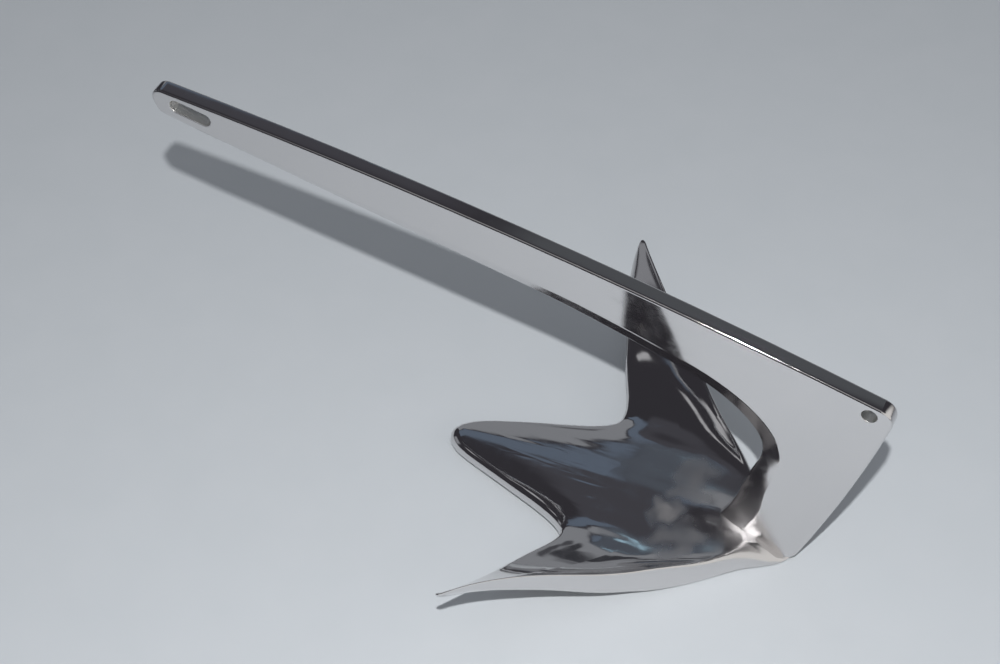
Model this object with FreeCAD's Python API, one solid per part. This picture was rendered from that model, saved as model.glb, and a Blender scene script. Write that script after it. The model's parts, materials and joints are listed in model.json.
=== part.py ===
import FreeCAD, Part
import math
import os
from FreeCAD import Vector

os.makedirs("parts", exist_ok=True)

# Claw anchor, one polished stainless casting. Millimetres, +Z up.
# +X runs from the shackle end of the shank to the crown, +Y is across.
# The casting stands on its centre claw and on the rear rims of the side claws.

# Shank and crown plate, seen from the side
plate_thickness = 10.0
eye_x = -197.4
eye_height = 207.0
eye_radius = 6.0
eye_sweep = 17.0
eye_depth = 12.8
crown_x = 212.2
crown_height = 134.6
crown_radius = 9.0
top_bow = 7.6
rear_bow = 2.0
foot_x = 173.5
foot_radius = 9.0
foot_lift = 2.4
edge_round = 1.5

# Throat, the inner edge of the plate from the shank down to the flukes
throat_start_x = 20.6
throat_start_height = 149.6
bend_x = 154.6
bend_height = 85.0
root_x = 134.0
root_height = 18.0
root_run = 8.0
land_thickness = 4.6
eye_bevel = 3.0
shank_bevel = 7.5
bend_bevel = 10.5
root_bevel = 17.0
bevel_blend = 5.0
land_round = 1.2

# How the bevel's cutter meets the faces, and how many sections shape it
skin_angle = 3.0
skin_step = 0.2
cutter_margin = 6.0
shank_stations = 8
throat_stations = 14

# Shackle slot and trip-line hole
slot_length = 25.0
slot_width = 7.8
slot_setback = 17.7
slot_drop = 0.5
slot_round = 0.8
trip_hole_diameter = 8.6
trip_hole_setback = 3.6
trip_hole_rise = 2.6
trip_hole_round = 0.6

# Flukes in plan
half_span = 144.5
tip_x = 27.5
notch_x = 57.0
notch_y = 49.5
nose_x = -31.0
heel_overhang = 4.5
tip_radius = 2.0

# Flukes in height
tip_height = 58.5
tip_thickness = 2.4
claw_thickness = 4.6
nose_height = 5.95
nose_thickness = 12.2
nose_round = 7.0
notch_height = 10.2
front_thickness = 7.2
front_round = 3.2
rim_height = 26.0
rim_round = 3.6
foot_clearance = 0.4
heel_height = 9.0
heel_reach = 26.0
crown_rise = 3.0
scoop_depth = 6.5
arch_height = 1.6
root_flare = 4.0
root_half_width = 10.0
root_reach = 16.0

# Fineness of the flukes' skin: points round each edge, points across, sections to each side,
# and how even the steps are that otherwise shorten towards the ends
turn_steps = 6
face_steps = 16
row_steps = 46
face_evenness = 0.15
row_evenness = 0.4


def guide(points, even=False):
    """Smooth value along a list of (station, value) pairs; even ones mirror about 0."""
    if even:
        points = [(-s, v) for s, v in reversed(points) if s > 0] + points
    line = Part.BSplineCurve()
    line.interpolate(Points=[Vector(s, v, 0) for s, v in points],
                     Parameters=[s for s, v in points])
    return lambda s: line.value(s).y


def closed_skin(rings):
    """Solid whose smooth skin passes through closed rings that end in a point."""
    loops = []
    for points in rings[1:-1]:
        loop = Part.BSplineCurve()
        loop.interpolate(Points=points, PeriodicFlag=True,
                         Parameters=list(range(len(points) + 1)))
        loops.append(loop)
    rows = [loop.getPoles() for loop in loops]
    rows.insert(0, [rings[0][0]] * len(rows[0]))
    rows.append([rings[-1][0]] * len(rows[0]))
    lines = []
    for k in range(len(rows[0])):
        line = Part.BSplineCurve()
        line.interpolate(Points=[row[k] for row in rows], Parameters=list(range(len(rows))))
        lines.append(line)
    skin = Part.BSplineSurface()
    skin.buildFromPolesMultsKnots(
        [line.getPoles() for line in lines],
        loops[0].getMultiplicities(), lines[0].getMultiplicities(),
        loops[0].getKnots(), lines[0].getKnots(), True, False, 3, 3)
    return Part.Solid(Part.Shell([skin.toShape()]))


def side(x, z, y=0.0):
    return Vector(x, y, z)


def toward(a, b, distance):
    """Point at a distance from a along the line to b."""
    step = b.sub(a)
    step.normalize()
    return a.add(step.multiply(distance))


def wrap_arc(a, ra, b, rb, bow, inner):
    """Wide arc that wraps two end circles: its centre lies on the inner side."""
    chord = b.sub(a)
    span = chord.Length
    radius = span ** 2 / (8 * bow)
    da = radius - ra
    db = radius - rb
    forth = (da ** 2 - db ** 2 + span ** 2) / (2 * span)
    off = math.sqrt(da ** 2 - forth ** 2)
    chord.normalize()
    sideways = side(-chord.z, chord.x)
    if sideways.dot(inner.sub(a)) < 0:
        sideways = sideways.negative()
    centre = a.add(Vector(chord).multiply(forth)).add(sideways.multiply(off))
    start = toward(centre, a, radius)
    end = toward(centre, b, radius)
    middle = toward(centre, start.add(end).multiply(0.5), radius)
    return start, end, Part.Arc(start, middle, end).toShape()


def end_arc(centre, radius, start, end, outward):
    """Arc round an end circle from start to end, past the side that outward points to."""
    middle = centre.add(outward.normalize().multiply(radius))
    return Part.Arc(start, middle, end).toShape()


# Side outline of the shank and crown plate
eye = side(eye_x, eye_height)
crown = side(crown_x, crown_height)
foot = side(foot_x, foot_radius + foot_lift)
throat_start = side(throat_start_x, throat_start_height)
top_start, top_end, top_edge = wrap_arc(eye, eye_radius, crown, crown_radius, top_bow, throat_start)
rear_start, rear_end, rear_edge = wrap_arc(crown, crown_radius, foot, foot_radius, rear_bow,
                                           throat_start)

# The lower edge passes below the eye's corner at its depth. It runs straight from the
# throat to a wide arc that sweeps up into that corner.
from_throat = eye.sub(throat_start)
slope = (math.atan2(from_throat.z, -from_throat.x)
         - math.asin(eye_depth / from_throat.Length))
along = side(math.cos(slope), -math.sin(slope))
upright = side(-along.z, along.x)
gap = math.sqrt((eye_sweep - eye_radius) ** 2 - (eye_sweep - eye_depth) ** 2)
lower_start = throat_start.add(Vector(along).multiply(from_throat.dot(along) + gap))
sweep = lower_start.add(Vector(upright).multiply(eye_sweep))
sweep_end = toward(sweep, eye, eye_sweep)

# Throat curve from the lower edge, round the bend and down to the root in the flukes
bend = side(bend_x, bend_height)
root = side(root_x, root_height)
root_end = side(root_x - root_run, foot_lift)
drop = bend.sub(throat_start)
fall = root.sub(bend)
throat_points = [
    throat_start,
    throat_start.add(side(0.52 * drop.x, 0.295 * drop.z)),
    throat_start.add(side(0.87 * drop.x, 0.62 * drop.z)),
    bend,
    bend.add(side(0.29 * fall.x, 0.40 * fall.z)),
    bend.add(side(0.71 * fall.x, 0.85 * fall.z)),
    root_end]
throat = Part.BSplineCurve()
throat.interpolate(Points=throat_points, InitialTangent=along, FinalTangent=root_end.sub(root))

bottom_end = foot.add(side(0, -foot_radius))
outline = Part.Wire([
    end_arc(sweep, eye_sweep, lower_start, sweep_end, side(-1, -1)),
    end_arc(eye, eye_radius, sweep_end, top_start, side(-1, 1)),
    top_edge,
    end_arc(crown, crown_radius, top_end, rear_start, side(1, 0.6)),
    rear_edge,
    end_arc(foot, foot_radius, rear_end, bottom_end, side(0.6, -0.8)),
    Part.makeLine(bottom_end, root_end),
    Part.Edge(throat),
    Part.makeLine(throat_start, lower_start)])
half = plate_thickness / 2
plate = Part.Face(outline)
plate.translate(side(0, 0, -half))
plate = plate.extrude(side(0, 0, plate_thickness))


def corner_arc(corner, before, after, radius):
    """Start, middle and end of the arc that rounds a corner between two directions."""
    turn = before - after
    reach = radius * math.tan(turn / 2)
    bulge = radius * (1 / math.cos(turn / 2) - 1)
    mean = (before + after) / 2
    w, y = corner
    return [(w - reach * math.cos(before), y - reach * math.sin(before)),
            (w + bulge * math.sin(mean), y - bulge * math.cos(mean)),
            (w + reach * math.cos(after), y + reach * math.sin(after))]


def bevel_section(station, run, width):
    """Section of the cutter: land corner, bevel and soft ridge, closed round the outside."""
    inward = side(-run.z, run.x)
    land = land_thickness / 2
    grazing = math.radians(skin_angle)
    steep = math.pi / 2 - grazing
    slope = math.atan2(half - land, width)
    low = corner_arc((0, land), steep, slope, land_round)
    high = corner_arc((width, half), slope, grazing, bevel_blend)
    start = (-skin_step, low[0][1] - (skin_step + low[0][0]) * math.tan(steep))
    end = (high[2][0] + (half + skin_step - high[2][1]) / math.tan(grazing), half + skin_step)
    past = half + cutter_margin
    corners = [start] + low + high + [end, (end[0], past), (-cutter_margin, past),
                                      (-cutter_margin, start[1])]
    q = [station.add(Vector(inward).multiply(w)).add(side(0, 0, y)) for w, y in corners]
    rounds = [Part.Arc(q[1], q[2], q[3]).toShape(), Part.Arc(q[4], q[5], q[6]).toShape()]
    lines = [Part.makeLine(q[k], q[(k + 1) % len(q)]) for k in (0, 3, 6, 7, 8, 9, 10)]
    return Part.Wire([lines[0], rounds[0], lines[1], rounds[1]] + lines[2:])


def bevel_cutter():
    """Tool that grinds the lower edge thin, wide at the root and narrow at the eye."""
    widths = guide([(0, shank_bevel), (0.3, (shank_bevel + bend_bevel) / 2), (0.6, bend_bevel),
                    (0.8, (bend_bevel + root_bevel) / 2), (1, root_bevel)])
    first, last = throat.FirstParameter, throat.LastParameter
    start = lower_start.sub(Vector(along).multiply(eye_sweep))
    run = throat_start.sub(start)
    sections = []
    for k in range(shank_stations):
        share = k / shank_stations
        sections.append(bevel_section(start.add(Vector(run).multiply(share)), along,
                                      eye_bevel + share * (shank_bevel - eye_bevel)))
    for k in range(throat_stations + 1):
        share = k / throat_stations
        u = first + share * (last - first)
        sections.append(bevel_section(throat.value(u), throat.tangent(u)[0], widths(share)))
    beyond = throat.value(last).add(Vector(throat.tangent(last)[0]).multiply(root_run))
    sections.append(bevel_section(beyond, throat.tangent(last)[0], root_bevel))
    return Part.makeLoft(sections, True, False)


def on_plane(edge, y, tolerance=0.001):
    return all(abs(abs(v.Point.y) - y) < tolerance for v in edge.Vertexes)


cutter = bevel_cutter()
plate = plate.cut(cutter).cut(cutter.mirror(Vector(0, 0, 0), Vector(0, 1, 0)))
outer = [e for e in plate.Edges
         if on_plane(e, half) and e.Curve.TypeId == "Part::GeomCircle"]
plate = plate.makeFillet(edge_round, outer)

# Long slot for the shackle, along the shank
slot = eye.add(Vector(along).multiply(slot_setback)).sub(Vector(upright).multiply(slot_drop))
slot_rise = Vector(upright).multiply(slot_width / 2)
slot_front = slot.add(Vector(along).multiply((slot_length - slot_width) / 2))
slot_back = slot.sub(Vector(along).multiply((slot_length - slot_width) / 2))
slot_wire = Part.Wire([
    Part.makeLine(slot_back.add(slot_rise), slot_front.add(slot_rise)),
    Part.Arc(slot_front.add(slot_rise), toward(slot_front, slot_back, -slot_width / 2),
             slot_front.sub(slot_rise)).toShape(),
    Part.makeLine(slot_front.sub(slot_rise), slot_back.sub(slot_rise)),
    Part.Arc(slot_back.sub(slot_rise), toward(slot_back, slot_front, -slot_width / 2),
             slot_back.add(slot_rise)).toShape()])
slot_wire.translate(side(0, 0, -plate_thickness))
plate = plate.cut(Part.Face(slot_wire).extrude(side(0, 0, 2 * plate_thickness)))

# Trip-line hole in the crown corner
hole = crown.add(side(-trip_hole_setback, trip_hole_rise))
plate = plate.cut(Part.makeCylinder(trip_hole_diameter / 2, 2 * plate_thickness,
                                    hole.add(side(0, 0, -plate_thickness)), side(0, 0, 1)))


def mouth(edge, centre, width):
    return on_plane(edge, half) and edge.BoundBox.Center.sub(centre).Length < width


slot_mouth = [e for e in plate.Edges
              if mouth(e, side(slot.x, slot.z, e.BoundBox.Center.y), slot_length / 2)]
plate = plate.makeFillet(slot_round, slot_mouth)
hole_mouth = [e for e in plate.Edges
              if mouth(e, side(hole.x, hole.z, e.BoundBox.Center.y), trip_hole_diameter / 4)]
plate = plate.makeFillet(trip_hole_round, hole_mouth)

# Flukes: one curved body with a crowned centre claw and two side claws that rise.
# Its shape is set along guides that run across from the mid-plane to a side claw's tip.
claw = half_span - notch_y
rear_x = foot_x + heel_overhang
bow_peak = 27 / 4
slope_step = 0.5


def mix(a, b, share):
    return a + share * (b - a)


def eased(share, evenness):
    """Share of a way whose steps shorten towards both ends, unless they are even."""
    return mix((1 - math.cos(math.pi * share)) / 2, share, evenness)


def across(inner, outer, start=0.0, end=1.0):
    """Guide over the whole width: shares of the notch distance, then shares of the claw."""
    points = [(share * notch_y, mix(start, end, value)) for share, value in inner]
    points += [(notch_y + share * claw, mix(start, end, value)) for share, value in outer]
    return guide(points, even=True)


# Front edge in plan: the centre claw's nose, its flank, the notch, the side claw's tip
front_x = across(
    [(0, 0.0), (0.15, 0.042), (0.28, 0.16), (0.4, 0.34), (0.53, 0.55), (0.68, 0.79),
     (0.84, 0.96)],
    [(0, 1.0), (0.11, 0.97), (0.26, 0.895), (0.49, 0.797), (0.74, 0.697), (0.90, 0.655),
     (1, 0.665)], nose_x, notch_x)

# Rear rim in plan: a heel behind the plate, then straight out to the tips
rear_x_at = guide([(share * half_span, mix(tip_x, rear_x, value)) for share, value in (
    (0, 1.0), (0.045, 0.985), (0.09, 0.94), (0.13, 0.885), (0.18, 0.83), (0.277, 0.735),
    (0.38, 0.622), (0.453, 0.543), (0.578, 0.415), (0.695, 0.291), (0.816, 0.172),
    (0.94, 0.062), (1, 0.018))], even=True)

# Front edge in height, how thick it is and how far its rounding reaches
front_z = across(
    [(0, 0.0), (0.15, 0.005), (0.4, 0.035), (0.7, 0.03), (0.88, 0.045)],
    [(0, 0.085), (0.11, 0.158), (0.26, 0.238), (0.49, 0.362), (0.74, 0.552), (0.90, 0.755),
     (1, 1.0)], nose_height, tip_height)
front_half = across(
    [(0, nose_thickness), (0.15, 0.9 * nose_thickness), (0.4, 1.05 * front_thickness),
     (0.7, front_thickness)],
    [(0, 0.97 * front_thickness), (0.26, mix(front_thickness, claw_thickness, 0.6)),
     (0.5, claw_thickness), (0.8, mix(claw_thickness, tip_thickness, 0.5)),
     (1, tip_thickness)], 0, 0.5)
front_reach = across(
    [(0, nose_round), (0.15, 0.85 * nose_round), (0.4, front_round), (0.7, front_round)],
    [(0, front_round), (0.5, 0.8 * front_round), (1, 0.5 * front_round)])

# Rear rim: top line, under line, how far its rounding reaches in and where it bulges
rim_top = across(
    [(0, heel_height), (0.12, mix(heel_height, rim_height, 0.04)),
     (0.26, mix(heel_height, rim_height, 0.17)), (0.5, mix(heel_height, rim_height, 0.37)),
     (0.76, mix(heel_height, rim_height, 0.56))],
    [(0, mix(heel_height, rim_height, 0.83)), (0.08, mix(heel_height, rim_height, 0.97)),
     (0.16, mix(rim_height, tip_height, 0.05)), (0.26, mix(rim_height, tip_height, 0.17)),
     (0.355, mix(rim_height, tip_height, 0.335)), (0.445, mix(rim_height, tip_height, 0.50)),
     (0.53, mix(rim_height, tip_height, 0.65)), (0.72, mix(rim_height, tip_height, 0.91)),
     (0.86, mix(rim_height, tip_height, 1.01)), (1, tip_height + tip_thickness / 2)])
rim_under = across(
    [(0, foot_clearance), (0.3, 0.6 * foot_clearance), (0.6, 0.0), (0.84, 0.2)],
    [(0, 1.2), (0.08, 3.0), (0.16, 0.115 * tip_height), (0.26, 0.2 * tip_height),
     (0.355, 0.31 * tip_height), (0.445, 0.43 * tip_height), (0.625, 0.65 * tip_height),
     (0.81, 0.86 * tip_height), (1, tip_height - tip_thickness / 2)])
rim_reach = across(
    [(0, heel_reach), (0.12, 0.8 * heel_reach), (0.26, 0.45 * heel_reach),
     (0.5, 0.2 * heel_reach), (0.76, 1.1 * rim_round)],
    [(0, rim_round), (0.5, rim_round), (1, 0.5 * rim_round)])
rim_power = across([(0, 1.1), (0.12, 1.2), (0.26, 1.6), (0.5, 2.0), (0.8, 2.4)],
                   [(0, 2.6), (0.3, 2.6), (0.8, 2.3), (1, 2.0)])
rim_bulge = across([(0, 0.1), (0.24, 0.12), (0.5, 0.25), (0.8, 0.45)],
                   [(0, 0.5), (0.2, 0.6), (0.5, 0.6), (1, 0.5)])

# Bow of the upper face between the two edges: crowned in front, scooped behind
crown_bow = across([(0, 1.0), (0.18, 0.98), (0.36, 0.89), (0.55, 0.94), (0.71, 1.08), (0.85, 1.27),
                    (0.93, 1.06)], [(0, 0.74), (0.08, 0.35), (0.16, 0.12), (0.3, 0.0), (1, 0.0)],
                   0, crown_rise)
scoop_bow = across([(0, 0.70), (0.18, 0.57), (0.36, 0.27), (0.55, 0.0), (0.71, -0.27), (0.85, -0.5),
                    (0.93, -0.61)], [(0, -0.66), (0.08, -0.67), (0.16, -0.64), (0.36, -0.55),
                    (0.62, -0.4), (0.85, -0.15), (1, 0.0)], 0, scoop_depth)
under_bow = across([(0, 1.0), (0.4, 0.0)], [(0, -0.5), (0.4, -1.0), (1, 0.0)], 0, arch_height)


def lean(line, y):
    """How much longer an edge's slanted run makes a distance measured along +X."""
    return math.hypot(1, (line(y + slope_step) - line(y - slope_step)) / (2 * slope_step))


def ring(y):
    """Closed section of the flukes at a distance y from the mid-plane."""
    past = max(0.0, abs(y) - (half_span - tip_radius)) / tip_radius
    taper = math.sqrt(max(0.0, 1 - past ** 2))
    x0, x1 = front_x(y), rear_x_at(y)
    chord = x1 - x0
    reach0 = front_reach(y) * lean(front_x, y)
    reach1 = rim_reach(y) * (lean(rear_x_at, y) if abs(y) > root_half_width else 1)
    reach0 *= chord / (chord + 2 * reach0)
    reach1 *= chord / (chord + 2 * reach1)
    top0, under0 = front_z(y) + front_half(y), front_z(y) - front_half(y)
    top1, under1 = rim_top(y), rim_under(y)
    near = math.exp(-(y / root_half_width) ** 2)
    middle = Vector((x0 + x1) / 2, y, (top0 + under0 + top1 + under1) / 4)

    def section_point(x, full, bulge, upper):
        s = (x - x0) / chord
        top = mix(top0, top1, s)
        top += bow_peak * (crown_bow(y) * s * (1 - s) ** 2 + scoop_bow(y) * s ** 2 * (1 - s))
        top += root_flare * near * math.exp(-((x - root_x) / root_reach) ** 2)
        under = mix(under0, under1, s) + under_bow(y) * 4 * s * (1 - s)
        base = mix(under, top, bulge)
        z = mix(base, top if upper else under, full)
        return mix(middle, Vector(x, y, z), taper)

    def half_ring(upper):
        points = []
        for k in range(turn_steps):
            angle = math.pi / 2 * k / turn_steps
            points.append((x0 + reach0 * (1 - math.cos(angle)), math.sin(angle), 0.5))
        for k in range(face_steps + 1):
            share = eased(k / face_steps, face_evenness)
            points.append((mix(x0 + reach0, x1 - reach1, share), 1.0, rim_bulge(y)))
        for k in range(turn_steps - 1, -1, -1):
            angle = math.pi / 2 * k / turn_steps
            power = 2 / rim_power(y)
            points.append((x1 - reach1 * (1 - math.cos(angle) ** power),
                           math.sin(angle) ** power, rim_bulge(y)))
        return [section_point(x, full, bulge, upper) for x, full, bulge in points]

    points = half_ring(True) + half_ring(False)[-2:0:-1]
    start = len(points) * 3 // 4
    return points[start:] + points[:start]


def row(k):
    """Distance of a section from the mid-plane: close together there and at the tips."""
    return math.copysign(half_span * eased(abs(k) / row_steps, row_evenness), k)


flukes = closed_skin([ring(row(k)) for k in range(-row_steps, row_steps + 1)])

# One casting, with its origin under the middle of its bounding box
anchor = plate.fuse(flukes)
box = anchor.optimalBoundingBox()
anchor.translate(Vector(-(box.XMin + box.XMax) / 2, 0, -box.ZMin))
anchor.exportStep("parts/anchor.step")
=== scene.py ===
import json
import math
import bpy
from mathutils import Matrix, Vector

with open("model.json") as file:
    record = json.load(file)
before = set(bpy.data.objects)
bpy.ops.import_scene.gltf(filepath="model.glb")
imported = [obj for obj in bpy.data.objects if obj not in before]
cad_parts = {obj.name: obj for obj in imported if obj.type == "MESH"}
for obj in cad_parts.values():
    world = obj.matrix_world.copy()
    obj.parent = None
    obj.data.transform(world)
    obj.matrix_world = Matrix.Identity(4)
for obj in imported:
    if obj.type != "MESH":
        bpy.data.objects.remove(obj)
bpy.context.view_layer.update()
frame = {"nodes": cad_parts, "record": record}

# Camera
# A long lens looks down on the anchor from its left side. The shank points away to the
# upper left and the flukes lie at the lower right. Angles are in radians.
view_azimuth = 0.42549
view_elevation = 0.81359
view_roll = -0.00408
view_target = Vector((-0.00881, 0.0, 0.10525))
view_distance = 1.23163
sensor_width = 36.0
focal_length = 80.99
nearest = 0.01
camera_data = bpy.data.cameras.new("camera")
camera_data.sensor_width = sensor_width
camera_data.lens = focal_length
camera_data.clip_start = nearest
camera = bpy.data.objects.new("camera", camera_data)
bpy.context.collection.objects.link(camera)
turn = (Matrix.Rotation(view_azimuth, 4, "Z")
        @ Matrix.Rotation(math.pi / 2 - view_elevation, 4, "X")
        @ Matrix.Rotation(view_roll, 4, "Z"))
camera.matrix_world = (Matrix.Translation(view_target) @ turn
                       @ Matrix.Translation((0, 0, view_distance)))
bpy.context.scene.camera = camera


# Anchor
# The whole anchor is one casting in 316 stainless steel: shank, crown plate and flukes.
# Its outside is belt-ground and buffed to a mirror by hand. The wheel can't reach into
# the slot, the trip hole and the corner at the plate's foot, so these stay duller.
def linear(code):
    """Linear colour of an sRGB hex code."""
    parts = [int(code[k:k + 2], 16) / 255 for k in (1, 3, 5)]
    return tuple(c / 12.92 if c <= 0.04045 else ((c + 0.055) / 1.055) ** 2.4
                 for c in parts) + (1.0,)


def add(tree, kind, settings, links):
    """Add one node with its settings, and with its inputs set or linked to a node or socket."""
    node = tree.nodes.new("ShaderNode" + kind)
    for name, value in settings.items():
        setattr(node, name, value)
    for socket, value in links.items():
        source = value.outputs[0] if isinstance(value, bpy.types.Node) else value
        if isinstance(source, bpy.types.NodeSocket):
            tree.links.new(source, node.inputs[socket])
        else:
            node.inputs[socket].default_value = source
    return node


# The slot runs along the shank, which falls towards the crown, and the trip hole is round.
mm = 0.001
mounts = {mount["name"]: mount for mount in frame["record"]["mounts"]}
slot_centre = mounts["shackle_slot"]["pos_m"]
slot_tilt = math.radians(11.5)
slot_half_run = 8.6 * mm
slot_half_width = 3.9 * mm
hole_centre = mounts["trip_hole"]["pos_m"]
hole_radius = mounts["trip_hole"]["dims"]["r_mm"] * mm

# Stainless steel, cast and buffed: a warm gray mirror that ripples a little, with faint
# duller clouds. At the plate's foot it turns to a soft satin, and inside the slot and the
# hole it is dull, with fine grooves round the wall. The grooves are drawn coarser than
# the real ones, which are too fine to show.
buffed_tone = "#DBD9D9"
cast_tone = "#DCDBD9"
steel = bpy.data.materials.new("stainless steel, cast and buffed")
steel.use_nodes = True
tree = steel.node_tree
tree.nodes.clear()
place = add(tree, "TexCoord", {}, {}).outputs["Object"]
smooth = {"interpolation_type": "SMOOTHSTEP"}

# The wall of each opening in the plate: 1 on it, and 0 a little way off it.
skin_margin = 0.15 * mm
skin_fade = 0.3 * mm
wall = 0.0
for centre, tilt, half_run, half_width in (
        (slot_centre, slot_tilt, slot_half_run, slot_half_width),
        (hole_centre, 0.0, 0.0, hole_radius)):
    turned = add(tree, "Mapping", {"vector_type": "TEXTURE"}, {
        "Vector": place, "Location": centre, "Rotation": (0.0, tilt, 0.0)})
    inside = add(tree, "SeparateXYZ", {}, {"Vector": turned})
    along = add(tree, "Math", {"operation": "ABSOLUTE"}, {0: inside.outputs["X"]})
    along = add(tree, "Math", {"operation": "SUBTRACT"}, {0: along, 1: half_run})
    along = add(tree, "Math", {"operation": "MAXIMUM"}, {0: along, 1: 0.0})
    off_line = add(tree, "CombineXYZ", {}, {"X": along, "Z": inside.outputs["Z"]})
    from_line = add(tree, "VectorMath", {"operation": "LENGTH"}, {0: off_line})
    edge = half_width + skin_margin
    near_wall = add(tree, "MapRange", smooth, {
        "Value": from_line.outputs["Value"], "From Min": edge, "From Max": edge + skin_fade,
        "To Min": 1.0, "To Max": 0.0})
    wall = add(tree, "Math", {"operation": "MAXIMUM"}, {0: near_wall, 1: wall})

# How dull the skin is: a buffed mirror with faint clouds, and satin round the foot.
haze_size = 9 * mm
haze_detail = 4.0
haze_breakup = 0.6
haze_low, haze_high = 0.35, 0.75
mirror_roughness = 0.06
cloud_roughness = 0.12
satin_roughness = 0.24
wall_roughness = 0.38
foot = Vector((146, 0, 15)) * mm
satin_core = 12 * mm
satin_end = 66 * mm
clouds = add(tree, "TexNoise", {}, {
    "Vector": place, "Scale": 1 / haze_size, "Detail": haze_detail, "Roughness": haze_breakup})
haze = add(tree, "MapRange", smooth, {
    "Value": clouds, "From Min": haze_low, "From Max": haze_high,
    "To Min": mirror_roughness, "To Max": cloud_roughness})
from_foot = add(tree, "VectorMath", {"operation": "DISTANCE"}, {0: place, 1: foot})
satin = add(tree, "MapRange", smooth, {
    "Value": from_foot.outputs["Value"], "From Min": satin_core, "From Max": satin_end,
    "To Min": satin_roughness, "To Max": 0.0})
dullness = add(tree, "Math", {"operation": "MAXIMUM"}, {0: haze, 1: satin})

# Where the wheel only brushed past, beside the plate's foot: the centre and reach of each
# spot in millimetres, and the roughness in its middle. A drift frays the round outlines.
brushed_spots = [
    ((97, -9, 16), 20, 0.68),
    ((106, 14, 16), 27, 0.46),
    ((113, -25, 15.5), 25, 0.5),
]
drift_size = 15 * mm
drift_detail = 1.0
drift_reach = Vector((36, 36, 36)) * mm
drift = add(tree, "TexNoise", {}, {
    "Vector": place, "Scale": 1 / drift_size, "Detail": drift_detail})
drifted = add(tree, "VectorMath", {"operation": "MULTIPLY_ADD"}, {
    0: drift.outputs["Color"], 1: drift_reach, 2: place})
for centre, reach, roughness in brushed_spots:
    from_spot = add(tree, "VectorMath", {"operation": "DISTANCE"}, {
        0: drifted, 1: Vector(centre) * mm + drift_reach / 2})
    spot = add(tree, "MapRange", smooth, {
        "Value": from_spot.outputs["Value"], "From Min": 0.0, "From Max": reach * mm,
        "To Min": roughness, "To Max": 0.0})
    dullness = add(tree, "Math", {"operation": "MAXIMUM"}, {0: dullness, 1: spot})
dullness = add(tree, "Mix", {"data_type": "FLOAT"}, {
    "Factor": wall, "A": dullness, "B": wall_roughness})
tone = add(tree, "Mix", {"data_type": "RGBA"}, {
    "Factor": wall, 6: linear(buffed_tone), 7: linear(cast_tone)})

# The relief: long ripples of hand grinding, and grooves round the walls of the openings.
ripple_size = 32 * mm
ripple_height = 0.09 * mm
ripple_detail = 1.0
groove_size = 1.0 * mm
groove_length = 9 * mm
groove_height = 0.3 * mm
groove_detail = 2.0
ripples = add(tree, "TexNoise", {}, {
    "Vector": place, "Scale": 1 / ripple_size, "Detail": ripple_detail})
ripples = add(tree, "Math", {"operation": "MULTIPLY"}, {0: ripples, 1: ripple_height})
drawn_out = add(tree, "Mapping", {}, {
    "Vector": place, "Scale": (1 / groove_length, 1 / groove_size, 1 / groove_length)})
grooves = add(tree, "TexNoise", {}, {
    "Vector": drawn_out, "Scale": 1.0, "Detail": groove_detail})
grooves = add(tree, "Math", {"operation": "MULTIPLY"}, {0: grooves, 1: wall})
height = add(tree, "Math", {"operation": "MULTIPLY_ADD"}, {
    0: grooves, 1: groove_height, 2: ripples})

# The back of the shank is ground a little crowned, and leans towards the left side.
back_height = 110 * mm
back_bend = 0.011 / mm
back_line = 8.0 * mm
back_edge, back_top = 0.5, 0.8
facing = add(tree, "NewGeometry", {}, {}).outputs["Normal"]
upward = add(tree, "SeparateXYZ", {}, {"Vector": facing})
at = add(tree, "SeparateXYZ", {}, {"Vector": place})
facing_up = add(tree, "MapRange", smooth, {
    "Value": upward.outputs["Z"], "From Min": back_edge, "From Max": back_top,
    "To Min": 0.0, "To Max": 1.0})
above = add(tree, "Math", {"operation": "GREATER_THAN"}, {
    0: at.outputs["Z"], 1: back_height})
on_back = add(tree, "Math", {"operation": "MULTIPLY"}, {0: facing_up, 1: above})
bend = add(tree, "Math", {"operation": "MULTIPLY"}, {0: on_back, 1: back_bend})
off_middle = add(tree, "Math", {"operation": "SUBTRACT"}, {
    0: at.outputs["Y"], 1: back_line})
bend = add(tree, "Math", {"operation": "MULTIPLY"}, {0: off_middle, 1: bend})
lean = add(tree, "CombineXYZ", {}, {"Y": bend})
crowned = add(tree, "VectorMath", {"operation": "ADD"}, {0: facing, 1: lean})
crowned = add(tree, "VectorMath", {"operation": "NORMALIZE"}, {0: crowned})

relief = add(tree, "Bump", {}, {"Height": height, "Distance": 1.0, "Normal": crowned})
skin = add(tree, "BsdfPrincipled", {}, {
    "Base Color": tone.outputs[2], "Metallic": 1.0, "Roughness": dullness, "Normal": relief})
add(tree, "OutputMaterial", {}, {"Surface": skin})
anchor = frame["nodes"]["anchor"]
anchor.data.materials.clear()
anchor.data.materials.append(steel)

# Table
# A board under a matt coat of pale gray-blue paint, on which the anchor stands. It runs
# on past the photograph's frame on all sides.
table_size = 6.0
bpy.ops.object.select_all(action="DESELECT")
bpy.ops.mesh.primitive_plane_add(size=table_size, location=(0, 0, 0))
table = bpy.context.object
table.name = "table"

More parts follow.
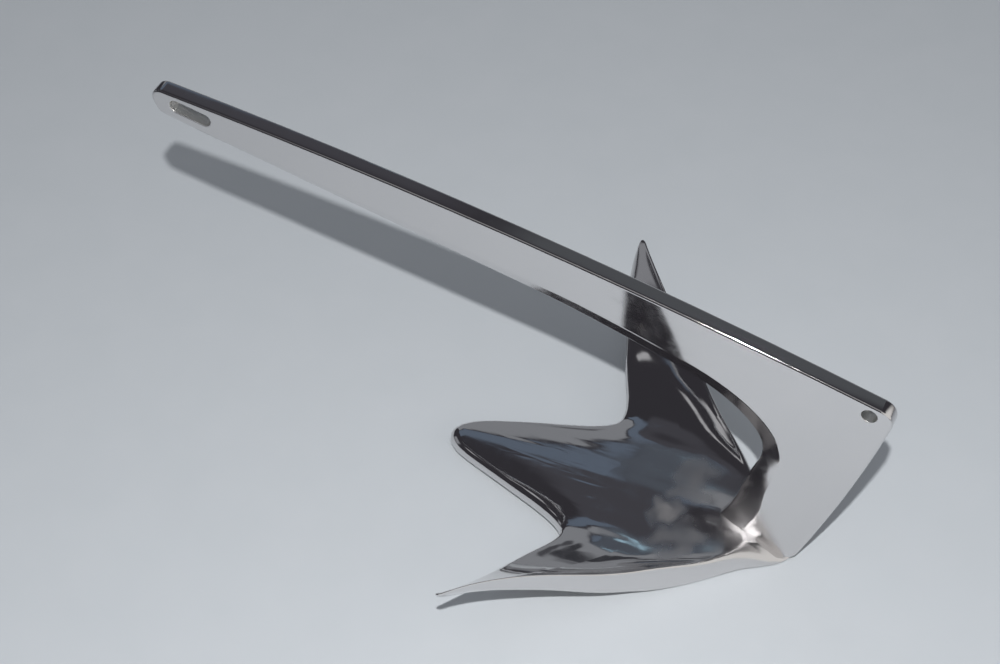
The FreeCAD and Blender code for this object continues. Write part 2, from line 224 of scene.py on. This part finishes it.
# Emulsion paint, rolled on: an even pale tone with the faintest mottle of the roller.
mottle_size = 35 * mm
mottle_detail = 3.0
darker_paint = "#C2C7CB"
lighter_paint = "#C7CBCF"
paint = bpy.data.materials.new("emulsion paint, rolled")
paint.use_nodes = True
tree = paint.node_tree
tree.nodes.clear()
place = add(tree, "TexCoord", {}, {}).outputs["Object"]
mottle = add(tree, "TexNoise", {}, {
    "Vector": place, "Scale": 1 / mottle_size, "Detail": mottle_detail})
tone = add(tree, "Mix", {"data_type": "RGBA"}, {
    "Factor": mottle, 6: linear(darker_paint), 7: linear(lighter_paint)})
matt = add(tree, "BsdfPrincipled", {}, {
    "Base Color": tone.outputs[2], "Roughness": 0.6, "Specular IOR Level": 0.3})
add(tree, "OutputMaterial", {}, {"Surface": matt})
table.data.materials.append(paint)

# Light
# A small flash straight above the lens lights the table, and a weaker, wider twin makes
# only the glints in the steel, which would burn out at full strength. A soft box over the
# table fills the shadows, and the steel doesn't mirror it.
flash_place = Vector((0.346, -0.794, 1.293))
flash_aim = Vector((0.14, -0.18, 0.0))
flash_spread = math.radians(120)
# Each lamp's name, power in watts, width in metres, and whether it is the steel's
flashes = [("flash", 8.2, 0.028, False), ("flash in the steel", 2.2, 0.045, True)]
for name, power, width, in_steel in flashes:
    flash_data = bpy.data.lights.new(name, "AREA")
    flash_data.shape = "DISK"
    flash_data.size = width
    flash_data.spread = flash_spread
    flash_data.energy = power
    flash = bpy.data.objects.new(name, flash_data)
    bpy.context.collection.objects.link(flash)
    facing_aim = (flash_place - flash_aim).to_track_quat("Z", "Y").to_matrix().to_4x4()
    flash.matrix_world = Matrix.Translation(flash_place) @ facing_aim
    flash.visible_glossy = in_steel
    flash.visible_diffuse = not in_steel

box_width = 3.0
box_power = 11.5
box_height = 2.5
box_colour = "#EDF5FF"
box_data = bpy.data.lights.new("soft box", "AREA")
box_data.size = box_width
box_data.energy = box_power
box_data.color = linear(box_colour)[:3]
box = bpy.data.objects.new("soft box", box_data)
bpy.context.collection.objects.link(box)
box.location = (0.0, 0.0, box_height)
box.visible_glossy = False

# Room
# What the steel mirrors: a dark room with pale sheets stood round the table, gray and
# blue-gray walls above the far sheet, dark things before it, and a few bright panels.
room_tone = "#37363B"
# Each surface: from and to azimuth, from and to elevation, softness of its edge, all in
# degrees, and its colour. A later one covers those before it.
surfaces = [
    ("upper wall", (98, 126), (50, 62), 4.0, "#48484E"),
    ("far sheet", (60, 142), (-90, 39.6), 0.7, "#888B90"),
    ("shaded wall", (96, 109), (38, 51), 2.5, "#545A63"),
    ("gray wall", (62, 93), (41, 64), 3.0, "#55585C"),
    ("low dark thing", (100, 105), (14, 20), 0.8, "#3F4045"),
    ("upright dark thing", (103, 108), (21, 29), 0.8, "#3A3B40"),
    ("small dark thing", (108, 112), (16, 22), 0.8, "#4A4B50"),
    ("blue-gray wall", (109, 150), (41.6, 52), 0.8, "#616C7B"),
    ("sheet on the right", (-75, 38), (-15, 45), 5.0, "#E2E1DF"),
    ("high panel", (-175, -158), (58.5, 63.5), 1.2, "#B4B5B8"),
    ("middle panel", (-161, -153), (35, 44.5), 1.0, "#B2B3B6"),
    ("low panel", (-180, -162), (3, 24), 3.0, "#8B8D92"),
    ("bright pane", (101.6, 103.4), (40.3, 43.8), 0.4, "#A9CBDD"),
    ("sheet behind the lens", (-110, -45), (35, 70), 9.0, "#8C8C8E"),
]
room = bpy.data.worlds.new("room")
bpy.context.scene.world = room
room.use_nodes = True
tree = room.node_tree
tree.nodes.clear()
direction = add(tree, "TexCoord", {}, {}).outputs["Generated"]
toward = add(tree, "SeparateXYZ", {}, {"Vector": direction})
azimuth = add(tree, "Math", {"operation": "ARCTAN2"}, {
    0: toward.outputs["Y"], 1: toward.outputs["X"]})
azimuth = add(tree, "Math", {"operation": "DEGREES"}, {0: azimuth})
elevation = add(tree, "Math", {"operation": "ARCSINE"}, {0: toward.outputs["Z"]})
elevation = add(tree, "Math", {"operation": "DEGREES"}, {0: elevation})
colour = linear(room_tone)
for name, (left, right), (low, high), soft, code in surfaces:
    cover = 1.0
    for angle, edge, side in ((azimuth, left, soft), (azimuth, right, -soft),
                              (elevation, low, soft), (elevation, high, -soft)):
        within = add(tree, "MapRange", smooth, {
            "Value": angle, "From Min": edge - side, "From Max": edge + side,
            "To Min": 0.0, "To Max": 1.0})
        cover = add(tree, "Math", {"operation": "MULTIPLY"}, {0: within, 1: cover})
    surface = add(tree, "Mix", {"data_type": "RGBA", "label": name}, {
        "Factor": cover, 6: colour, 7: linear(code)})
    colour = surface.outputs[2]
glow = add(tree, "Background", {}, {"Color": colour})
add(tree, "OutputWorld", {}, {"Surface": glow})

bpy.context.scene.view_settings.view_transform = "Standard"
